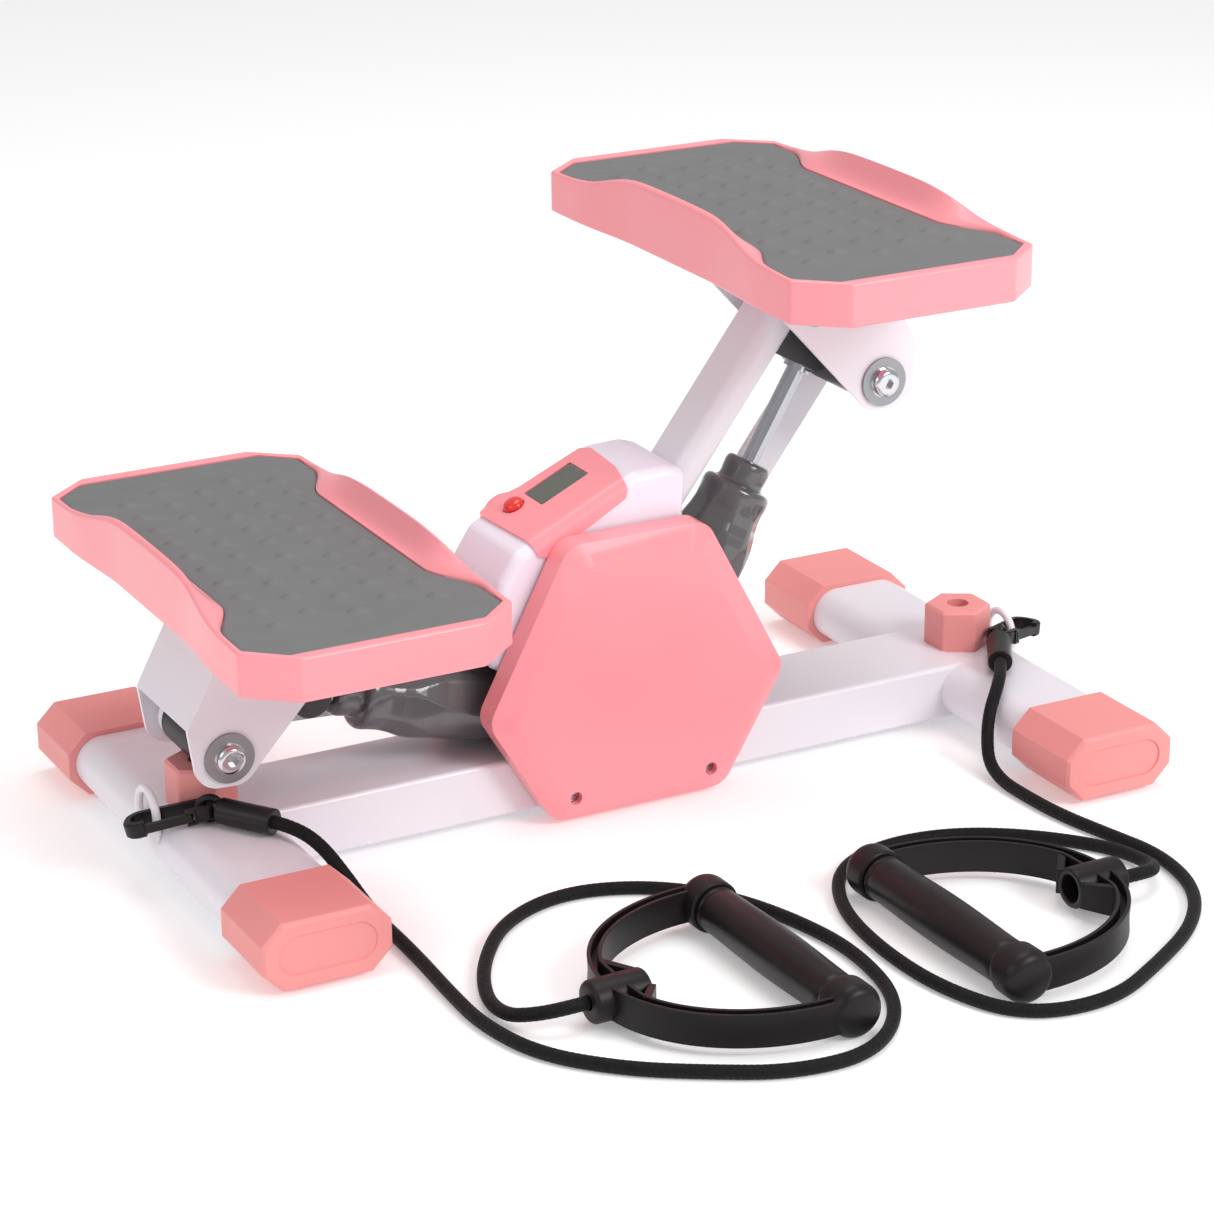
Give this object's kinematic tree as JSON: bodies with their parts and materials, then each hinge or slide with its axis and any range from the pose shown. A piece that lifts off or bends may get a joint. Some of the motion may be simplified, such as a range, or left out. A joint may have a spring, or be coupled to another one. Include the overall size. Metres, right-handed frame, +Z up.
{
  "type": "stepper",
  "caption": "Low stepper with rocking pedals on a linked arm, damper cylinders, a tilting display console and clip-on elastic bands with D-shaped handles.",
  "frame": {"origin": "on the floor under the middle of the base", "axes": "+X along the cross beam towards the raised pedal, -Y towards the display's front and the bands, +Z up"},
  "size_m": [0.6325, 0.5832, 0.3597],
  "materials": {
    "white_frame": "gloss white powder coat",
    "salmon_plastic": "satin",
    "pink_plastic": "gloss",
    "grey_rubber": "textured",
    "white_plastic": "gloss",
    "bright_steel": "zinc plated",
    "rod_chrome": "polished",
    "cylinder_grey": "gloss dark grey",
    "dark_steel": "satin black",
    "black_plastic": "satin",
    "black_rubber": "satin",
    "band_fabric": "woven",
    "bush_brass": "plain",
    "button_red": "gloss",
    "window_glass": "clear",
    "lcd_grey": "satin",
    "board_green": "satin",
    "battery_case": "satin"
  },
  "bodies": {
    "base": {"base_beam": "white_frame", "cross_tube_left": "white_frame", "cross_tube_right": "white_frame", "end_caps_left": "salmon_plastic", "end_caps_right": "salmon_plastic", "foot_pads": "black_rubber", "bumper_left": "salmon_plastic", "bumper_right": "salmon_plastic", "bumper_screws": "bright_steel", "band_rings": "white_frame", "pivot_plates": "white_frame", "main_axle": "bright_steel", "axle_nuts": "bright_steel", "pivot_pins": "bright_steel", "cylinder_lugs": "white_frame", "front_cover": "pink_plastic", "rear_cover": "pink_plastic", "cover_screws": "bright_steel", "band_cord_left": "band_fabric", "band_cord_right": "band_fabric", "band_sleeve_left": "black_rubber", "band_sleeve_right": "black_rubber", "snap_hook_left": "black_plastic", "snap_hook_right": "black_plastic", "handle_frame_left": "black_plastic", "handle_frame_right": "black_plastic"},
    "rocker": {"rocker_hub": "white_frame", "hub_bushes": "bush_brass", "arm_left": "white_frame", "arm_right": "white_frame", "rod_clevises": "dark_steel", "console_shell": "white_plastic", "display_bezel": "pink_plastic", "lcd_window": "window_glass", "lcd_panel": "lcd_grey", "circuit_board": "board_green", "battery": "battery_case", "shell_screws": "bright_steel"},
    "button": {"mode_button": "button_red"},
    "pedal_left": {"pedal_bracket_left": "white_frame", "pedal_tray_left": "pink_plastic", "pedal_mat_left": "grey_rubber", "pedal_fasteners_left": "bright_steel"},
    "link_left": {"link_bar_left": "white_frame", "link_roller_left": "black_rubber"},
    "cylinder_left": {"cylinder_body_left": "cylinder_grey"},
    "rod_left": {"piston_rod_left": "rod_chrome"},
    "gate_left": {"hook_gate_left": "black_plastic"},
    "grip_left": {"handle_grip_left": "black_rubber"},
    "pedal_right": {"pedal_bracket_right": "white_frame", "pedal_tray_right": "pink_plastic", "pedal_mat_right": "grey_rubber", "pedal_fasteners_right": "bright_steel"},
    "link_right": {"link_bar_right": "white_frame", "link_roller_right": "black_rubber"},
    "cylinder_right": {"cylinder_body_right": "cylinder_grey"},
    "rod_right": {"piston_rod_right": "rod_chrome"},
    "gate_right": {"hook_gate_right": "black_plastic"},
    "grip_right": {"handle_grip_right": "black_rubber"}
  },
  "joints": [
    {"name": "rocker_swing", "type": "hinge", "parent": "base", "child": "rocker", "pos_m": [0, 0, 0.124], "axis": [0, 1, 0], "range_deg": [0, 50]},
    {"name": "pedal_pivot_left", "type": "hinge", "parent": "rocker", "child": "pedal_left", "pos_m": [-0.20971, 0, 0.13499], "axis": [0, 1, 0], "range_deg": [-50, 0]},
    {"name": "link_pivot_left", "type": "hinge", "parent": "base", "child": "link_left", "pos_m": [-0.048, 0, 0.0715], "axis": [0, 1, 0], "range_deg": [0, 50]},
    {"name": "cylinder_pivot_left", "type": "hinge", "parent": "base", "child": "cylinder_left", "pos_m": [-0.027, 0, 0.0545], "axis": [0, 1, 0], "range_deg": [0, 46.2]},
    {"name": "rod_slide_left", "type": "slide", "parent": "cylinder_left", "child": "rod_left", "axis": [-0.9685, 0, 0.2488], "range_m": [0, 0.0621]},
    {"name": "pedal_pivot_right", "type": "hinge", "parent": "rocker", "child": "pedal_right", "pos_m": [0.12638, 0, 0.29171], "axis": [0, 1, 0], "range_deg": [-50, 0]},
    {"name": "link_pivot_right", "type": "hinge", "parent": "base", "child": "link_right", "pos_m": [0.048, 0, 0.0715], "axis": [0, 1, 0], "range_deg": [0, 50]},
    {"name": "cylinder_pivot_right", "type": "hinge", "parent": "base", "child": "cylinder_right", "pos_m": [0.027, 0, 0.0545], "axis": [0, 1, 0], "range_deg": [0, 44.07]},
    {"name": "rod_slide_right", "type": "slide", "parent": "cylinder_right", "child": "rod_right", "axis": [0.5061, 0, 0.8624], "range_m": [-0.0595, 0]},
    {"name": "mode_button_press", "type": "slide", "parent": "rocker", "child": "button", "axis": [0.4226, 0, -0.9063], "range_m": [0, 0.0015], "stiffness_N_per_m": 500},
    {"name": "gate_swing_left", "type": "hinge", "parent": "base", "child": "gate_left", "pos_m": [-0.27977, -0.03126, 0.0467], "axis": [0.2136, -0.1138, -0.9703], "range_deg": [0, 10], "stiffness_Nm_per_rad": 0.02},
    {"name": "gate_swing_right", "type": "hinge", "parent": "base", "child": "gate_right", "pos_m": [0.28804, -0.02548, 0.04777], "axis": [0.1413, 0.0882, 0.986], "range_deg": [0, 10], "stiffness_Nm_per_rad": 0.02},
    {"name": "grip_spin_left", "type": "hinge", "parent": "base", "child": "grip_left", "pos_m": [-0.043, -0.287, 0.0155], "axis": [-0.0227, 0.9997, 0], "continuous": true},
    {"name": "grip_spin_right", "type": "hinge", "parent": "base", "child": "grip_right", "pos_m": [0.059, -0.2975, 0.0155], "axis": [-0.0122, 0.9999, 0], "continuous": true}
  ],
  "couplings": [
    {"joint": "pedal_pivot_left", "follows": "rocker_swing", "ratio": -1},
    {"joint": "link_pivot_left", "follows": "rocker_swing", "ratio": 1},
    {"joint": "cylinder_pivot_left", "follows": "rocker_swing", "ratio": 0.923},
    {"joint": "rod_slide_left", "follows": "rocker_swing", "m_per_rad": 0.07093},
    {"joint": "pedal_pivot_right", "follows": "rocker_swing", "ratio": -1},
    {"joint": "link_pivot_right", "follows": "rocker_swing", "ratio": 1},
    {"joint": "cylinder_pivot_right", "follows": "rocker_swing", "ratio": 0.8805},
    {"joint": "rod_slide_right", "follows": "rocker_swing", "m_per_rad": -0.06801}
  ]
}
